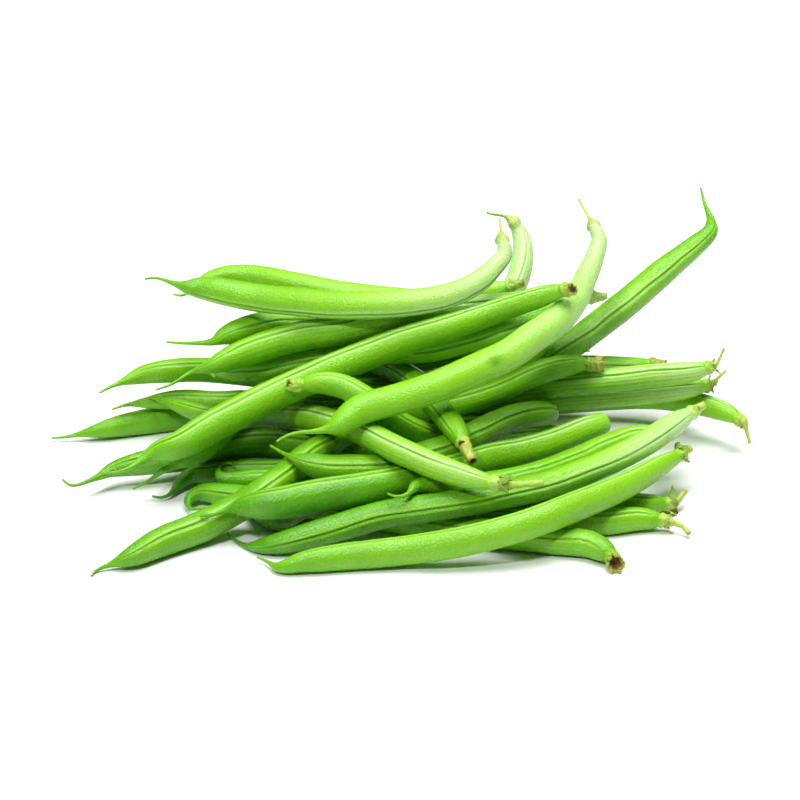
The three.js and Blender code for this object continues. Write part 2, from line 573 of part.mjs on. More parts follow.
// Closed tube round the settled line of a bean.
function beanGeometry(bean) {
  const count = bean.points.length;
  const shiftCurve = bean.points.map((point, index) => point.clone().sub(bean.home[index]));
  const at = (station) => {
    const share = station / bean.length;
    const place = bean.curve.getPointAt(Math.min(1, share));
    const slot = share * (count - 1);
    const index = Math.min(count - 2, Math.floor(slot));
    const rest = slot - index;
    place.addScaledVector(shiftCurve[index], 1 - rest);
    place.addScaledVector(shiftCurve[index + 1], rest);
    return place;
  };
  const stations = ringStations(bean);
  const centres = stations.map(at);
  const positions = [];
  const faces = [];
  const first = centres[0].clone().sub(at(1.2)).setLength(BEAK_TIP_RADIUS * 0.6).add(centres[0]);
  positions.push(first);
  const headings = stations.map((station) => {
    const before = at(Math.max(0, station - 0.6));
    return at(Math.min(bean.length, station + 0.6)).sub(before).normalize();
  });
  const sides = [];
  const middleRow = Math.floor(centres.length / 2);
  const carry = (index, from) => {
    sides[index] = from.clone().addScaledVector(headings[index], -from.dot(headings[index])).normalize();
  };
  carry(middleRow, new THREE.Vector3(0, 0, 1));
  for (let index = middleRow + 1; index < centres.length; index += 1) carry(index, sides[index - 1]);
  for (let index = middleRow - 1; index >= 0; index -= 1) carry(index, sides[index + 1]);
  centres.forEach((centre, index) => {
    const side = sides[index];
    const other = new THREE.Vector3().crossVectors(headings[index], side);
    const radius = beanRadius(bean, stations[index]);
    for (let step = 0; step < RING_SIDES; step += 1) {
      const angle = (step / RING_SIDES) * Math.PI * 2;
      const corner = centre.clone();
      corner.addScaledVector(side, Math.cos(angle) * radius);
      corner.addScaledVector(other, Math.sin(angle) * radius);
      corner.z = Math.max(corner.z, 0);
      positions.push(corner);
    }
  });
  const lastCentre = centres[centres.length - 1];
  const end = lastCentre.clone().sub(at(bean.length - 1)).setLength(0.15).add(lastCentre);
  positions.push(end);
  const ring = (row, step) => 1 + row * RING_SIDES + (step % RING_SIDES);
  for (let step = 0; step < RING_SIDES; step += 1) faces.push(0, ring(0, step + 1), ring(0, step));
  for (let row = 0; row < centres.length - 1; row += 1) {
    for (let step = 0; step < RING_SIDES; step += 1) {
      faces.push(ring(row, step), ring(row, step + 1), ring(row + 1, step + 1));
      faces.push(ring(row, step), ring(row + 1, step + 1), ring(row + 1, step));
    }
  }
  const lastRow = centres.length - 1;
  for (let step = 0; step < RING_SIDES; step += 1) {
    faces.push(positions.length - 1, ring(lastRow, step), ring(lastRow, step + 1));
  }
  const geometry = new THREE.BufferGeometry();
  const flat = positions.flatMap((place) => [place.x, place.y, place.z]);
  geometry.setAttribute('position', new THREE.Float32BufferAttribute(flat, 3));
  geometry.setIndex(faces);
  geometry.computeVertexNormals();
  return geometry;
}

const greenSkin = new THREE.MeshStandardMaterial({ color: 0x6fb81e, roughness: 0.45, name: 'bean_skin' });

const group = new THREE.Group();
beans.forEach((bean) => {
  const mesh = new THREE.Mesh(beanGeometry(bean), greenSkin);
  mesh.name = bean.name;
  group.add(mesh);
});

// The origin goes to the middle of the bottom of the heap.
const box = new THREE.Box3().setFromObject(group);
const middle = box.getCenter(new THREE.Vector3());
group.children.forEach((mesh) => mesh.geometry.translate(-middle.x, -middle.y, -box.min.z));

export default group;
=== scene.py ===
import math

import bpy
import numpy as np
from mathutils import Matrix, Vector, noise


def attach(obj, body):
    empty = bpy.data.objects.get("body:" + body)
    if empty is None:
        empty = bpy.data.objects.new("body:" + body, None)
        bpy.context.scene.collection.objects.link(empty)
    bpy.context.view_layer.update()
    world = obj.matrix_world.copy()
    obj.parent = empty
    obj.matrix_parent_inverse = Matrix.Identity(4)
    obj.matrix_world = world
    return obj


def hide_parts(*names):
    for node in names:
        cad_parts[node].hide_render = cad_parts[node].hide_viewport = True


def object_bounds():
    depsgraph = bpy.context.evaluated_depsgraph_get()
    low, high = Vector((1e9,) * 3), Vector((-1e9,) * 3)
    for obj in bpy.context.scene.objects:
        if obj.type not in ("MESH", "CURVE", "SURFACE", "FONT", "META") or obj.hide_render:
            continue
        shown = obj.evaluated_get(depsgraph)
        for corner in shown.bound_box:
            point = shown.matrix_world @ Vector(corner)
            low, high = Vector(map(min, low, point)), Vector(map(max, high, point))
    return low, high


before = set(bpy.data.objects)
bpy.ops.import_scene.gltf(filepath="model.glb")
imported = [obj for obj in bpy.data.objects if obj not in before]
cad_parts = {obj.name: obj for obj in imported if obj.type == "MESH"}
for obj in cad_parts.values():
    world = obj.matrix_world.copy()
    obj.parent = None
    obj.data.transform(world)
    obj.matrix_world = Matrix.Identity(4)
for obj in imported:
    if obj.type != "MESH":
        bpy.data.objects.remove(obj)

CAD_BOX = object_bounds()

# The view of the heap: where the eye is, in metres, how far it looks down, and its lens.
EYE = (0.0003, -0.6571, 0.3258)
DOWNWARD_DEG = 25.0
LENS_MM = 112.5
AHEAD = np.array([0.0, math.cos(math.radians(DOWNWARD_DEG)), -math.sin(math.radians(DOWNWARD_DEG))])

# The rings of a bean's solid that end its beak and start its calyx. A bean with a cut end has fewer rings.
WHOLE_BEAN_RINGS = 26
BEAK_END_RING = 4
CUT_STEM_RING = 22
STEM_RING = 23

# The straight pod that every bean is copied from: its sides, and the rows of beak, pod and stalk.
POD_SIDES = 24
BEAK_ROWS = 14
POD_ROWS = 48
STEM_ROWS = 16

# The end of a stalk: rows beyond the last one, how far in they reach and how deep they sink.
CAP_STEP = 0.002
CAP_ROWS = [3.0, 3.002, 3.004, 3.006, 3.008]
CAP_SHRINK = [1.0, 0.82, 0.62, 0.42, 0.0]
CAP_DIPS = [0.0, 0.05, -0.20, -0.50, -0.62]

# Steps along the line that a bean grew on.
LINE_STEPS = 500

# How strongly the columns of a pod crowd at its seam, where the detail is.
SEAM_CROWDING = 1.55

# The part of a pod with seeds and seam: how far behind the beak it starts and how gently, and how far before
# the calyx it stops and how gently. The shoulder is where the rows of the stalk begin. In millimetres.
BODY_START_MM = 2.0
BODY_RISE_MM = 10.0
BODY_STOP_MM = 6.0
BODY_FALL_MM = 5.0
SHOULDER_MM = 3.0

# The pod's growth, as shares of its radius.
SKIN_INSET = 0.985
OVAL = 0.03
SEED_SWELL = 0.020
SEED_MM = 3.4
UNEVEN = 0.010

# The seam: a furrow between two ridges, the back seam, and faint ribs as (degrees from the seam, size).
RIDGE_DEG = 10.5
RIDGE_WIDTH_DEG = 5.0
RIDGE_SHARE = 0.55
FURROW_WIDTH_DEG = 3.4
FURROW_FULL_MM = 0.22
BACK_SEAM_WIDTH_DEG = 7.0
BACK_SEAM_MM = 0.10
RIBS = ((24, 0.8), (40, 0.6), (-22, 0.8), (-38, 0.5), (62, 0.35), (-60, 0.35))
RIB_WIDTH_DEG = 4.5
RIB_MM = 0.12

# Marks on the skin, in millimetres deep.
BRUISE_MM = 0.14
DIMPLE_MM = 0.60
DIMPLE_RIM_MM = 0.15

# The calyx and the stalk: the collar's height, and knobs by height and by how close they stand.
COLLAR_MM = 0.20
COARSE_KNOB_MM = 0.42
COARSE_KNOBS_PER_MM = 0.55
FINE_KNOB_MM = 0.26
FINE_KNOBS_PER_MM = 1.2

# The sepals: shortest and longest, how far from the line they grow, and how far up the stalk.
SEPAL_MM = (1.7, 3.0)
SEPAL_OUT_MM = 1.3
SEPAL_UP_MM = 0.9

# How deep the fine relief of the skin is, in metres.
SKIN_RELIEF_M = 0.0006

# Nothing grows outside this box, in millimetres, which is the CAD's box less a hair.
EDGE_MM = 0.02
LOW_MM = np.array(CAD_BOX[0]) * 1000.0 + EDGE_MM
HIGH_MM = np.array(CAD_BOX[1]) * 1000.0 - EDGE_MM

# What each bean looks like. Every bean has:
#   seam: degrees from the viewer's side round to the seam, groove: depth of its furrow in mm, which also sets
#   how much painted shade the furrow gets, pale: how pale at the beak, before the middle and at the stalk,
#   partly the bean's own colour and partly painted light where an end is lit brighter, deep: how dark a green,
#   ribs: how strong the ribs beside the seam, which also sets their painted highlight, sepals: how many small
#   leaves the calyx kept.
# Some have:
#   brown: how dried the stalk, stalk: how woody its colour, hollow: how far the stalk's end sinks in,
#   slant: how aslant it broke, leaf and broad: length and width of the sepals,
#   leaf_turns: degrees from the viewer's side at which sepals lie flat on the stalk,
#   stout: thickness, raised: (x, width, amount) in mm of a stretch that lies higher,
#   dent: (share of the pod, degrees from the viewer's side, size in mm) of a dimple.
BEAN_LOOKS = {
    "bean_01": dict(seam=-62, groove=0.14, pale=(0.15, 0.30, 0.45), deep=0.38, ribs=0.2, sepals=4,
                    leaf=1.15, broad=1.5),
    "bean_02": dict(seam=4, groove=0.22, pale=(0.0, 0.10, 0.85), deep=0.68, ribs=0.6, sepals=2, brown=0.1),
    "bean_03": dict(seam=-8, groove=0.20, pale=(0.15, 0.15, 0.0), deep=0.65, ribs=0.3, sepals=2),
    "bean_04": dict(seam=-52, groove=0.22, pale=(0.0, 0.05, 0.55), deep=0.58, ribs=0.3, sepals=0),
    "bean_05": dict(seam=15, groove=0.20, pale=(0.3, 0.25, 0.2), deep=0.30, ribs=0.8, sepals=2),
    "bean_06": dict(seam=-42, groove=0.24, pale=(0.1, 0.35, 0.3), deep=0.25, ribs=0.3, sepals=0,
                    brown=0.25, hollow=0.35, stalk=0.25),
    "bean_07": dict(seam=-30, groove=0.20, pale=(0.1, 0.0, 0.0), deep=0.70, ribs=0.6, sepals=2,
                    raised=(-39.0, 20.0, 2.3), stout=1.07),
    "bean_08": dict(seam=-25, groove=0.18, pale=(0.1, 0.1, 0.25), deep=0.40, ribs=0.6, sepals=0,
                    brown=0.35, hollow=0.9, stalk=0.9),
    "bean_09": dict(seam=-30, groove=0.18, pale=(0.25, 0.2, 0.1), deep=0.30, ribs=0.4, sepals=2),
    "bean_10": dict(seam=-28, groove=0.22, pale=(0.15, 0.25, 0.9), deep=0.30, ribs=0.9, sepals=2, brown=0.05),
    "bean_11": dict(seam=-22, groove=0.22, pale=(0.1, 0.40, 0.55), deep=0.25, ribs=0.5, sepals=3,
                    leaf=1.9, brown=0.05, broad=0.8, leaf_turns=(-55, 60, 190)),
    "bean_12": dict(seam=-70, groove=0.12, pale=(0.15, 0.2, 0.1), deep=0.45, ribs=0.2, sepals=2),
    "bean_13": dict(seam=-30, groove=0.16, pale=(0.3, 0.2, 0.1), deep=0.40, ribs=0.4, sepals=2),
    "bean_14": dict(seam=68, groove=0.10, pale=(0.25, 0.55, 1.0), deep=0.10, ribs=0.1, sepals=0,
                    brown=0.35, dent=(0.43, 12.0, 1.7)),
    "bean_15": dict(seam=20, groove=0.14, pale=(0.1, 0.2, 0.35), deep=0.25, ribs=0.3, sepals=0,
                    brown=0.05, hollow=0.7, slant=1.3, stalk=0.8),
    "bean_16": dict(seam=-8, groove=0.22, pale=(0.2, 0.2, 0.1), deep=0.50, ribs=0.8, sepals=0),
    "bean_17": dict(seam=-30, groove=0.16, pale=(0.1, 0.1, 0.5), deep=0.45, ribs=0.3, sepals=0),
    "bean_18": dict(seam=8, groove=0.18, pale=(0.1, 0.1, 0.3), deep=0.45, ribs=0.5, sepals=2, brown=0.4),
    "bean_19": dict(seam=-22, groove=0.30, pale=(0.05, 0.12, 0.55), deep=0.28, ribs=1.8, sepals=3),
    "bean_20": dict(seam=-15, groove=0.30, pale=(0.05, 0.10, 0.55), deep=0.35, ribs=1.8, sepals=4),
    "bean_21": dict(seam=-50, groove=0.14, pale=(0.1, 0.2, 0.5), deep=0.30, ribs=0.4, sepals=1),
    "bean_22": dict(seam=0, groove=0.16, pale=(0.2, 0.3, 0.4), deep=0.30, ribs=0.8, sepals=0,
                    brown=0.5, stalk=0.6),
    "bean_23": dict(seam=-2, groove=0.22, pale=(0.05, 0.3, 0.1), deep=0.30, ribs=0.4, sepals=2,
                    raised=(46, 7, 1.8)),
    "bean_24": dict(seam=-40, groove=0.16, pale=(0.0, 0.0, 0.1), deep=0.80, ribs=0.5, sepals=2),
    "bean_25": dict(seam=-10, groove=0.16, pale=(0.0, 0.05, 0.2), deep=0.55, ribs=0.6, sepals=0,
                    brown=0.2, hollow=1.1, slant=0.5, stalk=0.25),
    "bean_26": dict(seam=-40, groove=0.18, pale=(0.0, 0.0, 0.3), deep=0.50, ribs=0.5, sepals=4,
                    leaf=1.3, brown=0.3, broad=1.4),
    "bean_27": dict(seam=-30, groove=0.18, pale=(0.0, 0.1, 0.3), deep=0.50, ribs=0.5, sepals=4, brown=0.2),
    "bean_28": dict(seam=48, groove=0.22, pale=(0.1, 0.42, 1.0), deep=0.22, ribs=0.2, sepals=0, brown=0.3),
    "bean_29": dict(seam=170, groove=0.14, pale=(0.3, 0.5, 0.6), deep=0.20, ribs=0.2, sepals=0,
                    brown=0.35, stalk=0.4),
    "bean_30": dict(seam=-8, groove=0.18, pale=(0.15, 0.4, 1.0), deep=0.20, ribs=0.8, sepals=0),
    "bean_31": dict(seam=-20, groove=0.18, pale=(0.1, 0.1, 0.2), deep=0.50, ribs=0.7, sepals=2),
    "bean_32": dict(seam=150, groove=0.20, pale=(0.1, 0.2, 0.3), deep=0.35, ribs=0.4, sepals=3),
    "bean_33": dict(seam=165, groove=0.20, pale=(0.2, 0.2, 0.4), deep=0.25, ribs=0.5, sepals=3),
    "bean_34": dict(seam=140, groove=0.20, pale=(0.1, 0.3, 0.3), deep=0.35, ribs=0.4, sepals=3),
    "bean_35": dict(seam=175, groove=0.20, pale=(0.2, 0.3, 0.4), deep=0.25, ribs=0.6, sepals=3),
}


def ease(value):
    value = np.clip(value, 0.0, 1.0)
    return value * value * (3 - 2 * value)


def bump_at(value, centre, width):
    return np.exp(-((value - centre) / width) ** 2)


def lumps(points, per_mm, seed):
    """Uneven natural variation from -1 to 1 at points in millimetres."""
    return np.array([noise.noise(Vector((p[0] * per_mm + seed, p[1] * per_mm, p[2] * per_mm))) for p in points])


def pick_only(piece):
    bpy.ops.object.select_all(action="DESELECT")
    piece.select_set(True)
    bpy.context.view_layer.objects.active = piece


def copy_of(piece, name):
    """A copy with its own mesh."""
    copy = piece.copy()
    copy.data = piece.data.copy()
    copy.name = name
    bpy.context.collection.objects.link(copy)
    return copy


def vertex_places(mesh):
    places = np.empty(len(mesh.vertices) * 3)
    mesh.vertices.foreach_get("co", places)
    return places.reshape(-1, 3)


def set_vertex_places(mesh, places_mm):
    places_mm = np.clip(places_mm, LOW_MM, HIGH_MM)
    mesh.vertices.foreach_set("co", (places_mm / 1000.0).reshape(-1))


def mark_vertices(mesh, name, red, green, blue):
    """Colour attribute whose three channels tell the skin how to colour each vertex."""
    marks = np.ones((len(mesh.vertices), 4))
    for channel, value in enumerate((red, green, blue)):
        marks[:, channel] = value
    attribute = mesh.attributes.new(name, "FLOAT_COLOR", "POINT")
    attribute.data.foreach_set("color", marks.reshape(-1))


def rings_of(node):
    """Ring centres and radii of a bean's solid, in millimetres, from the beak tip to the stalk's end."""
    mesh = node.data
    places, back = np.unique(np.round(vertex_places(mesh) * 1000.0, 2), axis=0, return_inverse=True)
    back = back.reshape(-1)
    near = [set() for _ in places]
    for face in mesh.polygons:
        ids = [int(back[v]) for v in face.vertices]
        for a in ids:
            near[a].update(ids)

    # The two poles have the most neighbours. The beak's tip is the one with the smaller ring round it.
    poles = sorted(range(len(places)), key=lambda i: -len(near[i]))[:2]
    spans = []
    for pole in poles:
        first = [i for i in near[pole] if i != pole]
        middle = places[first].mean(axis=0)
        spans.append(np.linalg.norm(places[first] - middle, axis=1).mean())
    start = poles[int(np.argmin(spans))]

    # Ring by ring from there, each one the neighbours of the last.
    seen = {start}
    layer = {start}
    layers = []
    while layer:
        after = set()
        for i in layer:
            after.update(near[i])
        after -= seen
        seen |= after
        if len(after) > 3:
            layers.append(sorted(after))
        layer = after
    centres = np.array([places[ids].mean(axis=0) for ids in layers])
    radii = np.array([np.linalg.norm(places[ids] - places[ids].mean(axis=0), axis=1).mean() for ids in layers])
    return centres, radii


def spline(knots, values, at):
    """Natural cubic spline through values at knots."""
    count = len(knots)
    gaps = np.diff(knots)
    system = np.zeros((count, count))
    right = np.zeros((count,) + values.shape[1:])
    system[0, 0] = system[-1, -1] = 1.0
    shape = (-1,) + (1,) * (values.ndim - 1)
    slopes = np.diff(values, axis=0) / gaps.reshape(shape)
    for i in range(1, count - 1):
        system[i, i - 1] = gaps[i - 1]
        system[i, i] = 2 * (gaps[i - 1] + gaps[i])
        system[i, i + 1] = gaps[i]
        right[i] = 6 * (slopes[i] - slopes[i - 1])
    bends = np.linalg.solve(system, right)
    index = np.clip(np.searchsorted(knots, at) - 1, 0, count - 2)
    h = gaps[index].reshape(shape)
    a = (knots[index + 1] - at).reshape(shape) / h
    b = (at - knots[index]).reshape(shape) / h
    return (a * values[index] + b * values[index + 1]
            + ((a ** 3 - a) * bends[index] + (b ** 3 - b) * bends[index + 1]) * h * h / 6)


class BeanLine:
    """The line a bean grew along, with a side direction carried smoothly from end to end."""

    def __init__(self, centres, radii):
        chords = np.linalg.norm(np.diff(centres, axis=0), axis=1)
        self.knots = np.concatenate([[0.0], np.cumsum(chords)])
        self.length = self.knots[-1]
        self.at = np.linspace(0.0, self.length, LINE_STEPS)
        self.points = spline(self.knots, centres, self.at)
        tangents = np.gradient(self.points, axis=0)
        self.tangents = tangents / np.linalg.norm(tangents, axis=1)[:, None]
        self.sides = self.carry_sides()
        self.others = np.cross(self.tangents, self.sides)
        plain = np.interp(self.at, self.knots, radii)
        kernel = np.hanning(15)
        kernel /= kernel.sum()
        self.radii = np.convolve(np.pad(plain, 7, mode="edge"), kernel, mode="valid")

    def carry_sides(self):
        """Side directions that look at the viewer in the middle and turn no more than the line does."""
        middle = LINE_STEPS // 2
        sides = np.zeros_like(self.points)
        toward = -AHEAD - self.tangents[middle] * np.dot(-AHEAD, self.tangents[middle])
        sides[middle] = toward / np.linalg.norm(toward)
        for step in list(range(middle + 1, LINE_STEPS)) + list(range(middle - 1, -1, -1)):
            last = sides[step - 1] if step > middle else sides[step + 1]
            side = last - self.tangents[step] * np.dot(last, self.tangents[step])
            sides[step] = side / np.linalg.norm(side)
        return sides

    def frame_at(self, along):
        """Centre, side and the direction square to both, at lengths along the line."""
        return [np.stack([np.interp(along, self.at, grid[:, k]) for k in range(3)], axis=1)
                for grid in (self.points, self.sides, self.others)]

    def radius_at(self, along):
        return np.maximum(np.interp(along, self.at, self.radii), 0.2)

    def viewer_turn(self):
        """The turn round the line's end that looks at the viewer."""
        return math.atan2(np.dot(-AHEAD, self.others[-1]), np.dot(-AHEAD, self.sides[-1]))


def model_straight_pod():
    """A tube of rows along X: 0 to 1 beak, 1 to 2 pod, 2 to 3 calyx and stalk, closed at both ends."""
    bpy.ops.object.select_all(action="DESELECT")
    bpy.ops.mesh.primitive_circle_add(vertices=POD_SIDES, radius=1.0, fill_type="NOTHING",
                                      rotation=(0, math.pi / 2, 0))
    pod = bpy.context.active_object
    pod.name = "straight_pod"
    bpy.ops.object.transform_apply(location=False, rotation=True, scale=True)
    bpy.ops.object.mode_set(mode="EDIT")
    bpy.ops.mesh.select_all(action="SELECT")
    for rows in (BEAK_ROWS, POD_ROWS, STEM_ROWS):
        for _ in range(rows):
            bpy.ops.mesh.extrude_region_move(TRANSFORM_OT_translate={"value": (1.0 / rows, 0, 0)})
    for shrink in (0.80, 0.62, 0.5):
        bpy.ops.mesh.extrude_region_move(TRANSFORM_OT_translate={"value": (CAP_STEP, 0, 0)})
        bpy.ops.transform.resize(value=(1.0, shrink, shrink), center_override=(CAP_ROWS[0], 0, 0))
    bpy.ops.mesh.extrude_region_move(TRANSFORM_OT_translate={"value": (CAP_STEP, 0, 0)})
    bpy.ops.mesh.merge(type="CENTER")
    bpy.ops.mesh.select_all(action="DESELECT")
    bpy.ops.object.mode_set(mode="OBJECT")
    for vertex in pod.data.vertices:
        vertex.select = abs(vertex.co.x) < 1e-5
    bpy.ops.object.mode_set(mode="EDIT")
    bpy.ops.mesh.select_mode(type="VERT")
    bpy.ops.mesh.extrude_region_move(TRANSFORM_OT_translate={"value": (-0.004, 0, 0)})
    bpy.ops.mesh.merge(type="CENTER")
    bpy.ops.mesh.select_all(action="SELECT")
    bpy.ops.mesh.normals_make_consistent(inside=False)
    bpy.ops.object.mode_set(mode="OBJECT")
    finer = pod.modifiers.new("finer", "SUBSURF")
    finer.subdivision_type = "SIMPLE"
    finer.levels = 1
    finer.render_levels = 1
    bpy.ops.object.modifier_apply(modifier="finer")
    return pod


def model_sepal():
    """A small pointed leaf, 1 long along X, thin and hollowed, with its root at the origin."""
    bpy.ops.object.select_all(action="DESELECT")
    bpy.ops.mesh.primitive_grid_add(x_subdivisions=8, y_subdivisions=4, size=1.0, location=(0.5, 0, 0))
    sepal = bpy.context.active_object
    sepal.name = "sepal"
    bpy.ops.object.transform_apply(location=True, rotation=False, scale=True)
    for vertex in sepal.data.vertices:
        x, y = vertex.co.x, vertex.co.y
        half_width = (0.40 * (1 - x ** 2.6) + 0.06) * (1 + 0.16 * math.sin(11 * x))
        vertex.co.y = y * 2 * half_width
        vertex.co.z = -0.60 * vertex.co.y ** 2 * 4 + 0.12 * x
    bpy.ops.object.mode_set(mode="EDIT")
    bpy.ops.mesh.select_all(action="SELECT")
    bpy.ops.mesh.normals_make_consistent(inside=False)
    bpy.ops.object.mode_set(mode="OBJECT")
    wall = sepal.modifiers.new("wall", "SOLIDIFY")
    wall.thickness = 0.1
    wall.offset = 0.0
    bpy.ops.object.modifier_apply(modifier="wall")
    return sepal


class GrowingBean:
    """One bean while it grows on its line. Its arrays hold a value for each vertex of the straight pod:
    along, in mm from the beak's tip, from_seam, in radians round it, and reach_mm, out from the line."""

    def __init__(self, node_name, look, pod):
        centres, radii = rings_of(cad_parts[node_name])
        if "raised" in look:
            at_x, width, amount = look["raised"]
            centres[:, 2] += amount * bump_at(centres[:, 0], at_x, width)
        self.look = look
        self.line = BeanLine(centres, radii)
        self.cut_end = len(radii) < WHOLE_BEAN_RINGS
        self.beak_end = self.line.knots[BEAK_END_RING]
        self.stem_at = self.line.knots[CUT_STEM_RING if self.cut_end else STEM_RING]
        self.rng = np.random.default_rng(int(node_name[-2:]) * 17 + 3)
        self.piece = copy_of(pod, "grown_" + node_name)
        self.mesh = self.piece.data
        self.count = len(self.mesh.vertices)

    def lay_along(self):
        """Rows of the straight pod become lengths along this bean, and its columns turns from the seam."""
        straight = vertex_places(self.mesh)
        line = self.line
        self.row = straight[:, 0]
        self.pole = np.hypot(straight[:, 1], straight[:, 2]) < 1e-4
        turn = np.arctan2(straight[:, 1], straight[:, 2])
        self.waves = self.rng.uniform(0, 2 * math.pi, 12)
        stops = [-0.004, 0.0, 1.0, 2.0, 3.0]
        lengths = [-0.12, 0.0, self.beak_end + BODY_START_MM, self.stem_at - SHOULDER_MM, line.length]
        self.along = np.interp(self.row, stops, lengths)
        self.end_reach = line.radius_at(np.array([line.length]))[0]
        self.along += np.interp(self.row, CAP_ROWS, CAP_DIPS) * self.end_reach * self.look.get("hollow", 0.6)
        self.from_seam = np.sign(turn) * math.pi * (np.abs(turn) / math.pi) ** SEAM_CROWDING
        self.seam_deg = np.degrees(self.from_seam)
        self.base = line.radius_at(np.clip(self.along, 0, line.length))
        self.share = np.clip((self.along - self.beak_end) / max(self.stem_at - self.beak_end, 1), 0, 1)
        rise = ease((self.along - self.beak_end - BODY_START_MM) / BODY_RISE_MM)
        fall = ease((self.along - self.stem_at + BODY_STOP_MM) / BODY_FALL_MM)
        self.body = rise * (1 - fall)

    def swell(self):
        """Slightly flat across the seams, with seeds that swell the sides and uneven growth."""
        rng = self.rng
        oval = 1.0 + OVAL * self.body * np.cos(2 * self.from_seam)
        seeds = np.zeros(self.count)
        seed_count = int(rng.integers(6, 9))
        starts = np.linspace(self.beak_end + 16, self.stem_at - 14, seed_count) + rng.normal(0, 1.5, seed_count)
        for start in starts:
            seeds += bump_at(self.along, start, SEED_MM) * rng.uniform(0.5, 1.0)
        sides_only = np.sin(self.from_seam) ** 2
        wave = np.zeros(self.count)
        for order in range(1, 6):
            wave += rng.normal(0, 1) / order * np.sin(2 * math.pi * order * self.share + rng.uniform(0, 6.28))
        swell = 1.0 + self.body * (SEED_SWELL * seeds * sides_only + UNEVEN * wave)
        self.reach_mm = self.base * SKIN_INSET * oval * swell * self.look.get("stout", 1.0)

    def press_seam(self):
        """The seam's furrow, which wanders and fades a little, its ridges, the back seam and the ribs."""
        share, waves = self.share, self.waves
        near_beak = (self.along > self.beak_end - 2) * (self.along < self.beak_end + 6)
        depth = self.look["groove"] * np.clip(self.body + 0.35 * near_beak, 0, 1)
        wander = 1.6 * np.sin(17 * share + waves[7]) + 1.2 * np.sin(41 * share + waves[8])
        keep = 0.80 + 0.20 * np.sin(29 * share + waves[9]) * np.sin(11 * share + waves[10])
        ridge = bump_at(np.abs(self.seam_deg - wander), RIDGE_DEG, RIDGE_WIDTH_DEG)
        furrow = bump_at(self.seam_deg, wander, FURROW_WIDTH_DEG) * keep
        self.reach_mm += depth * (RIDGE_SHARE * ridge - 1.0 * furrow)
        back_seam = bump_at(np.abs(self.seam_deg) - 180, 0.0, BACK_SEAM_WIDTH_DEG)
        self.reach_mm += BACK_SEAM_MM * self.body * back_seam
        ribs = np.zeros(self.count)
        for place_deg, size in RIBS:
            ribs += size * bump_at(self.seam_deg, place_deg, RIB_WIDTH_DEG)
        ribs *= self.body
        self.reach_mm += RIB_MM * self.look["ribs"] * ribs
        # The furrow gets a painted shade, and the ridges and ribs a painted highlight, for the skin's colour.
        full = np.clip(depth / FURROW_FULL_MM, 0, 1)
        self.furrow_shade = 0.85 * furrow * full
        self.ridge_light = ridge * full + 0.8 * self.look["ribs"] * ribs

    def bruise(self):
        """A few small bruises, and the dimple of a bean that has one."""
        rng = self.rng
        bruises = np.zeros(self.count)
        for _ in range(int(rng.integers(3, 7))):
            bruise_at = rng.uniform(self.beak_end + 12, self.stem_at - 10)
            turn = rng.uniform(-2.6, 2.6)
            size = rng.uniform(0.5, 1.3)
            gap = (self.from_seam - turn) * self.base
            bruises += rng.uniform(0.4, 1.0) * np.exp(-((self.along - bruise_at) ** 2 + gap ** 2) / size ** 2)
        self.reach_mm -= BRUISE_MM * bruises * self.body
        if "dent" in self.look:
            share, turn_deg, size = self.look["dent"]
            along_gap = self.along - (self.beak_end + share * (self.stem_at - self.beak_end))
            round_gap = (self.from_seam - math.radians(turn_deg - self.look["seam"])) * self.base
            from_dent = np.hypot(along_gap, round_gap) / size
            dimple = bump_at(from_dent, 0.0, 1.0)
            self.reach_mm -= DIMPLE_MM * dimple - DIMPLE_RIM_MM * bump_at(from_dent, 1.5, 0.4)
            bruises += 3.0 * dimple
        self.bruise_shade = 0.22 * np.clip(bruises, 0, 3) * self.body

    def turn_seam(self):
        """The seam is set to its side of the bean, turning slowly along the pod."""
        twist = math.radians(self.rng.uniform(-6, 6)) * (self.share - 0.5) * 2
        self.angle = self.from_seam + (math.radians(self.look["seam"]) + twist)

    def grow_calyx(self):
        """A short collar that stands a little proud of the pod's shoulder, then the knobbly stalk."""
        self.stalk = np.zeros(self.count)
        self.coarse = np.zeros(self.count)
        self.fine = np.zeros(self.count)
        if self.cut_end:
            return
        collar = bump_at(self.along, self.stem_at + 0.6, 0.9)
        self.reach_mm += COLLAR_MM * collar * (1 + 0.5 * np.cos(5 * self.from_seam + self.waves[0]))
        self.reach_mm -= COLLAR_MM * bump_at(self.along, self.stem_at - 0.8, 0.45)
        self.stalk = ease((self.along - self.stem_at + 0.5) / 1.0)
        woody = np.nonzero(self.stalk > 0.01)[0]
        around = self.from_seam
        tube = np.stack([np.cos(around) * self.base, np.sin(around) * self.base, self.along], axis=1)
        self.coarse[woody] = lumps(tube[woody], COARSE_KNOBS_PER_MM, self.waves[1] * 9)
        self.fine[woody] = lumps(tube[woody], FINE_KNOBS_PER_MM, self.waves[2] * 9)
        knobs = COARSE_KNOB_MM * self.coarse + FINE_KNOB_MM * self.fine
        self.reach_mm += knobs * self.stalk * np.clip(self.base / 1.6, 0.15, 1.4)

    def break_stalk(self):
        """The stalk's end: an uneven rim round a hollow, leaning where it snapped off aslant."""
        around, waves, line = self.from_seam, self.waves, self.line
        rim = 1 + 0.10 * np.sin(5 * around + waves[5]) + 0.07 * np.sin(9 * around + waves[6])
        shrink = np.interp(self.row, CAP_ROWS, CAP_SHRINK)
        self.reach_mm = np.where(self.row > CAP_ROWS[0] + 0.0005, self.end_reach * rim, self.reach_mm)
        self.reach_mm *= shrink
        self.reach_mm = np.where(self.pole, 0.0, self.reach_mm)
        if self.cut_end:
            return
        torn = shrink * ease((self.along - line.length + 2.5) / 2.3)
        leaning = np.cos(self.angle - line.viewer_turn())
        self.along -= self.look.get("slant", 0.0) * self.end_reach * leaning * torn
        if "hollow" in self.look:
            ragged = 0.16 * np.sin(7 * around + waves[3]) + 0.12 * np.sin(13 * around + waves[4])
            self.along += self.end_reach * ragged * torn

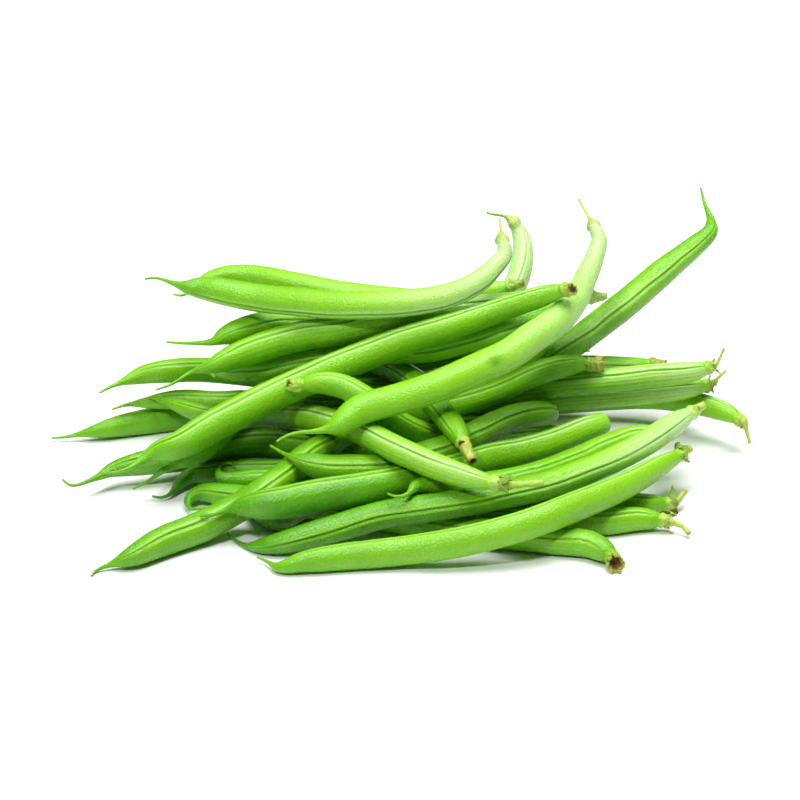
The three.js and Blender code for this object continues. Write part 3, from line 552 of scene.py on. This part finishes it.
    def set_on_line(self):
        """Every vertex goes to its place round the line, or straight on past its ends."""
        line = self.line
        centre, side, other = line.frame_at(np.clip(self.along, 0, line.length))
        before = np.where(self.along < 0, self.along, 0.0)[:, None] * line.tangents[0][None, :]
        after = np.where(self.along > line.length, self.along - line.length, 0.0)[:, None]
        centre = centre + (before + after * line.tangents[-1][None, :])
        out = side * (np.cos(self.angle) * self.reach_mm)[:, None]
        across = other * (np.sin(self.angle) * self.reach_mm)[:, None]
        set_vertex_places(self.mesh, centre + out + across)

    def map_skin(self):
        """A map that follows the pod: once round across, one unit a decimetre along."""
        mesh = self.mesh
        if not mesh.uv_layers:
            mesh.uv_layers.new(name="pod_map")
        corners = np.empty(len(mesh.loops), dtype=np.int64)
        mesh.loops.foreach_get("vertex_index", corners)
        across = self.seam_deg[corners] / 360.0 + 0.5
        along = self.along[corners] / 100.0
        at_pole = self.pole[corners]
        for face in mesh.polygons:
            ids = np.arange(face.loop_start, face.loop_start + face.loop_total)
            plain = ids[~at_pole[ids]]
            if across[plain].max() - across[plain].min() > 0.5:
                across[plain[across[plain] > 0.5]] -= 1.0
            across[ids[at_pole[ids]]] = across[plain].mean()
        mesh.uv_layers[0].data.foreach_set("uv", np.stack([across, along], axis=1).reshape(-1))

    def colour(self):
        """What the skin shows where. The growth attribute holds how pale, partly the bean's own colour and
        partly painted light on brightly lit ends, how dry and how deep a green, and the seam attribute holds
        the furrow's painted shade together with the bruises' own darker colour, the painted highlight on ridges
        and ribs, and how woody it is."""
        pale = np.interp(self.share, [0.0, 0.45, 1.0], self.look["pale"])
        brown = self.look.get("brown", 0.18)
        if self.cut_end:
            dry = np.interp(self.row, CAP_ROWS, [0.0, 0.10, 0.25, 0.5, 0.6])
        else:
            patch = np.clip(0.5 + 0.9 * self.coarse - 0.7 * self.fine, 0, 1)
            dry = brown * self.stalk * (0.35 + 0.65 * patch) * np.clip(self.base / 1.0, 0.35, 1)
            dry = np.maximum(dry, min(0.9, 1.7 * brown) * ease((self.along - self.line.length + 1.6) / 1.3))
            dry = np.maximum(dry, np.interp(self.row, CAP_ROWS, [0.0, 0.25, 0.85, 1.0, 1.0]))
        dry = np.maximum(dry, 0.2 * (1 - ease(self.along / 2.0)))
        mark_vertices(self.mesh, "growth", pale, dry, self.look["deep"])
        mark_vertices(self.mesh, "seam", np.maximum(self.furrow_shade, self.bruise_shade),
                      np.clip(self.ridge_light, 0, 1), self.stalk * self.look.get("stalk", 1.0))

    def grow_sepals(self, sepal):
        """The small leaves that the calyx kept, joined to the bean."""
        if self.cut_end or not self.look["sepals"]:
            return
        line, rng, look = self.line, self.rng, self.look
        root_at = self.stem_at + SEPAL_UP_MM
        root, side, other = [value[0] for value in line.frame_at(np.array([root_at]))]
        forward = np.array([np.interp(root_at, line.at, line.tangents[:, k]) for k in range(3)])
        leaves = []
        for number in range(look["sepals"]):
            spin = 2 * math.pi * number / look["sepals"] + rng.uniform(-0.5, 0.5)
            lean = rng.uniform(0.25, 0.75)
            roll = rng.uniform(-0.8, 0.8)
            length = rng.uniform(*SEPAL_MM) * look.get("leaf", 1.0)
            curl = rng.uniform(-0.6, 1.2)
            if "leaf_turns" in look:
                spin = line.viewer_turn() + math.radians(look["leaf_turns"][number])
                lean, roll, curl = lean * 0.35, roll * 0.3, curl * 0.3
            out = side * math.cos(spin) + other * math.sin(spin)
            long_way = forward * math.cos(lean) + out * math.sin(lean)
            up = out - long_way * np.dot(out, long_way)
            up /= np.linalg.norm(up)
            cross = np.cross(up, long_way)
            cross, up = (cross * math.cos(roll) + up * math.sin(roll),
                         up * math.cos(roll) - cross * math.sin(roll))
            leaf = copy_of(sepal, "leaf")
            grid = vertex_places(leaf.data)
            lift = curl * grid[:, 0] ** 2
            set_vertex_places(leaf.data, root + out * SEPAL_OUT_MM + grid[:, :1] * long_way * length
                              + grid[:, 1:2] * cross * length * look.get("broad", 1.1)
                              + (grid[:, 2:3] + lift[:, None]) * up * length * 0.6)
            mark_vertices(leaf.data, "growth", 0.55, 0.01 + 0.12 * grid[:, 0] ** 3, 0.0)
            mark_vertices(leaf.data, "seam", 0.0, 0.0, 1.0)
            leaf.data.uv_layers.new(name="pod_map")
            leaves.append(leaf)
        pick_only(self.piece)
        for leaf in leaves:
            leaf.select_set(True)
        bpy.ops.object.join()


def grow_bean(node_name, look, pod, sepal):
    """A finished bean in place of a node. The order of its steps is also the order of its random draws."""
    bean = GrowingBean(node_name, look, pod)
    bean.lay_along()
    bean.swell()
    bean.press_seam()
    bean.bruise()
    bean.turn_seam()
    bean.grow_calyx()
    bean.break_stalk()
    bean.set_on_line()
    bean.map_skin()
    bean.colour()
    bean.grow_sepals(sepal)
    pick_only(bean.piece)
    bpy.ops.object.shade_smooth_by_angle(angle=math.radians(50))
    return bean.piece


def add_node(tree, kind, place, **settings):
    node = tree.nodes.new(kind)
    node.location = place
    for key, value in settings.items():
        setattr(node, key, value)
    return node


def feed(tree, socket, value):
    """Links an output to a socket, or sets the socket to a plain value."""
    if isinstance(value, bpy.types.NodeSocket):
        tree.links.new(value, socket)
    else:
        socket.default_value = value


def feed_all(tree, node, **values):
    """Feeds sockets named in lower case with an underline for a space."""
    for name, value in values.items():
        feed(tree, node.inputs[name.replace("_", " ").title()], value)


def reckon(tree, place, operation, *values, clamp=False):
    node = add_node(tree, "ShaderNodeMath", place, operation=operation, use_clamp=clamp)
    for socket, value in zip(node.inputs, values):
        feed(tree, socket, value)
    return node.outputs["Value"]


def rescale(tree, place, value, low, high, to_low=0.0, to_high=1.0, course="LINEAR"):
    node = add_node(tree, "ShaderNodeMapRange", place, interpolation_type=course)
    feed_all(tree, node, value=value, from_min=low, from_max=high, to_min=to_low, to_max=to_high)
    return node.outputs["Result"]


def cloudy(tree, place, vector, scale, detail=2.0, roughness=0.5):
    node = add_node(tree, "ShaderNodeTexNoise", place)
    feed_all(tree, node, vector=vector, scale=scale, detail=detail, roughness=roughness)
    return node.outputs["Fac"]


def dotted(tree, place, vector, scale):
    node = add_node(tree, "ShaderNodeTexVoronoi", place)
    feed_all(tree, node, vector=vector, scale=scale)
    return node.outputs["Distance"]


def stretched(tree, place, vector, scale):
    node = add_node(tree, "ShaderNodeMapping", place)
    feed_all(tree, node, vector=vector, scale=scale)
    return node.outputs["Vector"]


def mixed(tree, place, share, colour, other, mode="MIX"):
    node = add_node(tree, "ShaderNodeMix", place, data_type="RGBA", blend_type=mode)
    for name, value in (("Factor", share), ("A", colour), ("B", other)):
        feed(tree, node.inputs[name], value)
    return node.outputs["Result"]


def make_skin_detail():
    """Node group for the detail of a pod's skin: mottling, streaks along it, specks, dew and a fine height."""
    group = bpy.data.node_groups.new("pod_skin_detail", "ShaderNodeTree")
    face = group.interface
    face.new_socket("Place", in_out="INPUT", socket_type="NodeSocketVector")
    face.new_socket("Pod Map", in_out="INPUT", socket_type="NodeSocketVector")
    face.new_socket("Dew", in_out="INPUT", socket_type="NodeSocketFloat")
    for name in ("Mottle", "Streak", "Speck", "Dewy", "Wrinkle", "Height"):
        face.new_socket(name, in_out="OUTPUT", socket_type="NodeSocketFloat")
    start = add_node(group, "NodeGroupInput", (-900, 0))
    end = add_node(group, "NodeGroupOutput", (900, 0))
    spot, pod_map, dew = (start.outputs[name] for name in ("Place", "Pod Map", "Dew"))

    mottle = cloudy(group, (-500, 400), spot, 130.0, detail=3.0, roughness=0.55)
    along = stretched(group, (-700, 100), pod_map, (34.0, 2.2, 1.0))
    streak = cloudy(group, (-500, 100), along, 1.0)
    speck_cells = dotted(group, (-500, -200), spot, 1500.0)
    speck = rescale(group, (-300, -200), speck_cells, 0.10, 0.32, 1.0, 0.0)

    # Drops of dew stand in patches.
    dew_cells = dotted(group, (-500, -500), spot, 1050.0)
    dome = rescale(group, (-300, -500), dew_cells, 0.05, 0.38, 1.0, 0.0, course="SMOOTHSTEP")
    patches = cloudy(group, (-500, -750), spot, 55.0)
    wet = rescale(group, (-300, -750), patches, 0.54, 0.66)
    wetness = reckon(group, (-100, -750), "MULTIPLY", wet, dew)
    drops = reckon(group, (100, -600), "MULTIPLY", dome, wetness)

    # The height: wrinkles across the pod, a fine grain, the streaks and the drops.
    across = stretched(group, (-700, 1000), pod_map, (13.0, 135.0, 1.0))
    wrinkle = cloudy(group, (-500, 1000), across, 1.0, roughness=0.6)
    grain = cloudy(group, (-500, 700), spot, 1700.0, roughness=0.6)
    height = reckon(group, (-300, 1000), "MULTIPLY", wrinkle, 0.62)
    height = reckon(group, (-200, 700), "MULTIPLY_ADD", grain, 0.50, height)
    height = reckon(group, (-200, 300), "MULTIPLY_ADD", streak, 0.45, height)
    height = reckon(group, (300, 0), "MULTIPLY_ADD", drops, 0.16, height)
    feed_all(group, end, mottle=mottle, streak=streak, speck=speck, dewy=drops, wrinkle=wrinkle, height=height)
    return group


def make_skin(name, detail, dew, fresh, deep, light, pale, stalk, tan, dry, speck, crease_shade_tint, furrow):
    material = bpy.data.materials.new(name)
    material.use_nodes = True
    tree = material.node_tree
    tree.nodes.clear()
    out = add_node(tree, "ShaderNodeOutputMaterial", (1700, 0))
    skin = add_node(tree, "ShaderNodeBsdfPrincipled", (1400, 0))
    feed(tree, out.inputs["Surface"], skin.outputs["BSDF"])
    spot = add_node(tree, "ShaderNodeTexCoord", (-1100, 300))
    chart = add_node(tree, "ShaderNodeUVMap", (-1100, 0), uv_map="pod_map")
    growth = add_node(tree, "ShaderNodeAttribute", (-1100, -300), attribute_name="growth")
    seam = add_node(tree, "ShaderNodeAttribute", (-1100, -600), attribute_name="seam")
    growth_parts = add_node(tree, "ShaderNodeSeparateColor", (-900, -300))
    seam_parts = add_node(tree, "ShaderNodeSeparateColor", (-900, -600))
    feed_all(tree, growth_parts, color=growth.outputs["Color"])
    feed_all(tree, seam_parts, color=seam.outputs["Color"])
    paleness_and_painted_light, dryness, depth = (growth_parts.outputs[part] for part in ("Red", "Green", "Blue"))
    furrow_shade_and_bruises, ridge_highlight, woodiness = (seam_parts.outputs[part] for part in ("Red", "Green", "Blue"))
    grain = add_node(tree, "ShaderNodeGroup", (-700, 200), node_tree=detail)
    feed_all(tree, grain, dew=dew, place=spot.outputs["Object"], pod_map=chart.outputs["UV"])
    grown = grain.outputs

    # Fresh to deep green by how the bean grew and by mottling.
    depth = reckon(tree, (-450, 200), "MULTIPLY_ADD", grown["Mottle"], 0.9, depth)
    depth = reckon(tree, (-300, 200), "SUBTRACT", depth, 0.45, clamp=True)
    colour = mixed(tree, (-100, 200), depth, fresh, deep)

    # Lighter and then pale where the bean is pale, partly its own colour and partly painted light on brightly
    # lit ends, along streaks, and with a painted highlight on the ridges and ribs.
    streaks = rescale(tree, (-450, -50), grown["Streak"], 0.35, 0.72, -0.16, 0.22)
    paleness_and_painted_light = reckon(tree, (-250, -50), "ADD", paleness_and_painted_light, streaks)
    paleness_and_painted_light = reckon(tree, (-100, -50), "MULTIPLY_ADD", ridge_highlight, 0.55, paleness_and_painted_light, clamp=True)
    colour = mixed(tree, (150, 450), rescale(tree, (50, 350), paleness_and_painted_light, 0.0, 0.65), colour, light)
    colour = mixed(tree, (150, 150), rescale(tree, (50, -350), paleness_and_painted_light, 0.50, 1.0), colour, pale)

    # Pale specks, partly the skin's own and partly painted sparkle, painted glints on the dew drops, painted
    # shade in the troughs of the wrinkles, and in the furrow its painted shade with the bruises' own darker
    # colour.
    dewy = reckon(tree, (0, -200), "MULTIPLY", grown["Dewy"], 0.6)
    specks_and_glints = reckon(tree, (150, -100), "MULTIPLY_ADD", grown["Speck"], 0.16, dewy, clamp=True)
    colour = mixed(tree, (350, 150), specks_and_glints, colour, speck, "SCREEN")
    crease_shade_share = rescale(tree, (350, -100), grown["Wrinkle"], 0.62, 0.34, 0.0, 0.55)
    colour = mixed(tree, (450, 350), crease_shade_share, colour, crease_shade_tint, "MULTIPLY")
    colour = mixed(tree, (550, 150), furrow_shade_and_bruises, colour, furrow, "MULTIPLY")

    # Calyx and stalk, which dry to tan and then to brown.
    colour = mixed(tree, (750, 150), reckon(tree, (550, -100), "MULTIPLY", woodiness, 0.85), colour, stalk)
    colour = mixed(tree, (950, 150), rescale(tree, (750, -50), dryness, 0.0, 0.6), colour, tan)
    colour = mixed(tree, (1150, 150), rescale(tree, (950, -50), dryness, 0.5, 1.0), colour, dry)

    # Satin, duller where dry and smooth on the drops.
    rough = rescale(tree, (750, -250), grown["Mottle"], 0.3, 0.7, 0.20, 0.32)
    rough = reckon(tree, (950, -250), "MULTIPLY_ADD", dryness, 0.4, rough, clamp=True)
    rough = reckon(tree, (1150, -250), "MULTIPLY_ADD", grown["Dewy"], -0.22, rough, clamp=True)
    relief = add_node(tree, "ShaderNodeBump", (1150, -500))
    feed_all(tree, relief, strength=1.0, distance=SKIN_RELIEF_M, height=grown["Height"])
    feed_all(tree, skin, base_color=colour, roughness=rough, normal=relief.outputs["Normal"],
             subsurface_weight=0.12, subsurface_radius=(0.6, 1.0, 0.25), subsurface_scale=0.0016)
    skin.inputs["Specular IOR Level"].default_value = 0.42
    return material


def make_table():
    bpy.ops.object.select_all(action="DESELECT")
    bpy.ops.mesh.primitive_plane_add(size=8.0, location=(0, 0, 0))
    table = bpy.context.active_object
    table.name = "white_table"
    material = bpy.data.materials.new("white_table")
    material.use_nodes = True
    tree = material.node_tree
    paint = tree.nodes["Principled BSDF"]
    paint.inputs["Specular IOR Level"].default_value = 0.2

    # Far from the heap the table runs out into a white room.
    spot = add_node(tree, "ShaderNodeTexCoord", (-900, -300))
    away = add_node(tree, "ShaderNodeVectorMath", (-700, -300), operation="LENGTH")
    feed(tree, away.inputs[0], spot.outputs["Object"])
    far_white = rescale(tree, (-500, -300), away.outputs["Value"], 0.25, 1.1, course="SMOOTHSTEP")
    seen = add_node(tree, "ShaderNodeLightPath", (-700, -500))
    glow = reckon(tree, (-300, -300), "MULTIPLY", far_white, seen.outputs["Is Camera Ray"])
    feed_all(tree, paint, base_color=(0.93, 0.93, 0.94, 1.0), roughness=0.55,
             emission_color=(1.0, 1.0, 1.0, 1.0), emission_strength=glow)
    table.data.materials.append(material)


def add_soft_light(name, place, aim, size, watts):
    lamp = bpy.data.lights.new(name, "AREA")
    lamp.shape = "RECTANGLE"
    lamp.size, lamp.size_y = size
    lamp.energy = watts
    holder = bpy.data.objects.new(name, lamp)
    bpy.context.collection.objects.link(holder)
    holder.location = place
    holder.rotation_euler = (Vector(aim) - Vector(place)).to_track_quat("-Z", "Y").to_euler()


def make_light():
    add_soft_light("overhead", place=(0.10, 0.14, 1.2), aim=(0.02, 0.14, 0.0), size=(1.0, 0.8), watts=23.0)
    add_soft_light("front_left", place=(-0.45, -0.70, 1.05), aim=(0, 0, 0.02), size=(0.15, 0.13), watts=8.0)
    world = bpy.data.worlds.new("white_room")
    world.use_nodes = True
    back = world.node_tree.nodes["Background"]
    back.inputs["Color"].default_value = (1, 1, 1, 1)
    back.inputs["Strength"].default_value = 0.05
    bpy.context.scene.world = world


def make_camera():
    data = bpy.data.cameras.new("eye")
    data.sensor_fit = "HORIZONTAL"
    data.sensor_width = 36.0
    data.lens = LENS_MM
    data.clip_start = 0.01
    data.clip_end = 50.0
    eye = bpy.data.objects.new("eye", data)
    bpy.context.collection.objects.link(eye)
    eye.location = EYE
    eye.rotation_euler = (math.radians(90 - DOWNWARD_DEG), 0, 0)
    bpy.context.scene.camera = eye


make_camera()
make_light()
make_table()
bpy.context.scene.view_settings.view_transform = "Standard"
bpy.context.scene.view_settings.look = "None"

straight_pod = model_straight_pod()
sepal_leaf = model_sepal()
bean_skin = make_skin(
    "bean_skin", make_skin_detail(),
    dew=1.0,
    fresh=(0.175, 0.560, 0.001, 1.0),
    deep=(0.040, 0.235, 0.0005, 1.0),
    # light, pale: lighter and then whitish greens for the paler parts, partly the bean's own colour and partly
    # painted light where ends are lit brighter.
    light=(0.340, 0.710, 0.018, 1.0),
    pale=(0.580, 0.820, 0.360, 1.0),
    stalk=(0.430, 0.620, 0.100, 1.0),
    tan=(0.400, 0.330, 0.050, 1.0),
    dry=(0.085, 0.036, 0.009, 1.0),
    # speck: the lighter colour screened in at specks and dew, partly the skin's own pale dots and partly
    # painted sparkle and glints.
    speck=(0.34, 0.40, 0.20, 1.0),
    # crease: the colour of the painted shade in the troughs of the wrinkles.
    crease_shade_tint=(0.45, 0.62, 0.25, 1.0),
    # furrow: the colour of the painted shade in the seam's furrow.
    furrow=(0.20, 0.45, 0.05, 1.0),
)

for node_name, look in BEAN_LOOKS.items():
    bean = grow_bean(node_name, look, straight_pod, sepal_leaf)
    bean.data.materials.clear()
    bean.data.materials.append(bean_skin)
    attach(bean, "root")
    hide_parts(node_name)

for spare in (straight_pod, sepal_leaf):
    bpy.data.objects.remove(spare, do_unlink=True)
